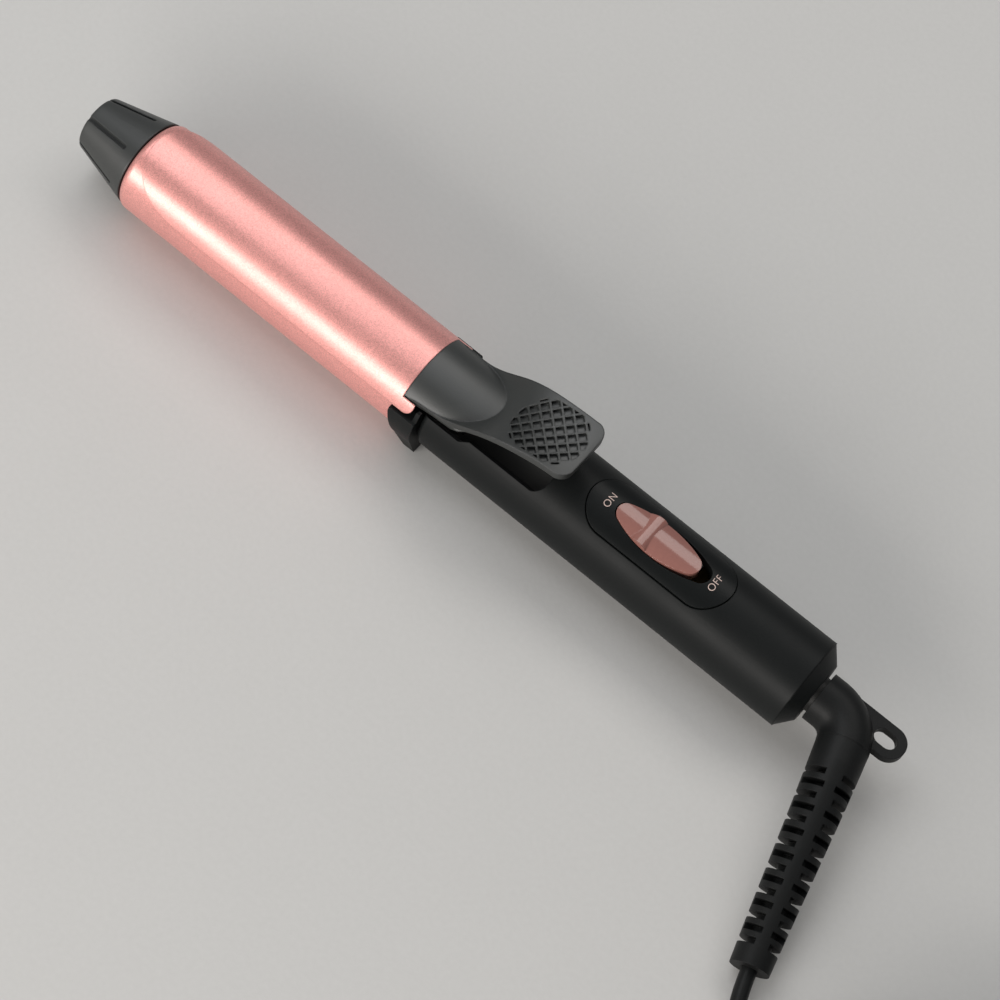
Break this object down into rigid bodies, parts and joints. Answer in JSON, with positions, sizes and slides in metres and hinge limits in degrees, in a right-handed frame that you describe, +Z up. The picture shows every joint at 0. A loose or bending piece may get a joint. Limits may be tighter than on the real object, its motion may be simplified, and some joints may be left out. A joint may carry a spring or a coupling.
{
  "type": "hair curling iron",
  "caption": "Mini hair curling iron: round barrel with a sprung clamp and thumb lever, slide switch, swivel lead with strain relief, coiled cord and plug.",
  "frame": {"origin": "on the supporting surface, under the middle of the iron between its cool tip and its end cap, on the iron's centre plane", "axes": "+X along the iron from the cool tip towards the lead, +Z up out of the thumb lever's side, +Y to the left of +X"},
  "size_m": [0.3655, 0.1289, 0.0379],
  "materials": {
    "rose_metal": "satin rose gold coating",
    "black_shell": "fine matte texture",
    "black_core": "plain moulded",
    "black_sleeve": "matte",
    "cord_sheath": "satin",
    "button_rose": "gloss",
    "panel_black": "smooth satin",
    "spreader_aluminium": "cast",
    "steel": "bright",
    "ceramic": "fired ceramic",
    "film": "amber insulating film",
    "wire_sleeve": "silicone sleeve",
    "board": "laminate",
    "brass": "plain",
    "blade_metal": "plated",
    "tie": "matte"
  },
  "bodies": {
    "lead": {"swivel_stem": "black_core", "slip_rings": "brass", "swivel_elbow": "black_sleeve", "strain_relief": "black_sleeve", "cord_lead": "cord_sheath", "cord_coil": "cord_sheath", "cord_tail": "cord_sheath", "cord_tie": "tie", "plug_relief": "black_sleeve", "plug_body": "black_sleeve", "plug_blades": "blade_metal"},
    "handle": {"cool_tip": "black_shell", "barrel": "rose_metal", "tip_bushing": "black_core", "heat_spreader_upper": "spreader_aluminium", "heat_spreader_lower": "spreader_aluminium", "spreader_clips": "steel", "heater_plate": "ceramic", "heater_film": "film", "thermal_fuse": "steel", "heater_wires": "wire_sleeve", "barrel_collar": "black_shell", "hinge_pin": "steel", "clamp_spring": "steel", "handle_shell": "black_shell", "handle_core": "black_core", "core_screws": "steel", "switch_panel": "panel_black", "switch_body": "black_core", "switch_board": "board", "switch_terminals": "brass", "board_screws": "steel", "end_cap": "black_shell", "swivel_retainer": "black_core", "retainer_screws": "steel", "brush_contacts": "brass", "supply_wires": "wire_sleeve"},
    "clamp": {"clamp_plate": "rose_metal", "clamp_lever": "black_shell", "lever_rivets": "steel"},
    "slider": {"switch_button": "button_rose", "switch_slider": "black_core"}
  },
  "joints": [
    {"name": "cord_swivel", "type": "hinge", "parent": "lead", "child": "handle", "pos_m": [0.1095, 0, 0.0145], "axis": [1, 0, 0], "continuous": true},
    {"name": "clamp_hinge", "type": "hinge", "parent": "handle", "child": "clamp", "pos_m": [-0.002, 0, 0.0215], "axis": [0, 1, 0], "range_deg": [0, 10.5], "stiffness_Nm_per_rad": 0.35, "springref_deg": -14.32, "deforming": ["clamp_spring"]},
    {"name": "switch_slide", "type": "slide", "parent": "handle", "child": "slider", "axis": [1, 0, 0], "range_m": [0, 0.003]}
  ]
}
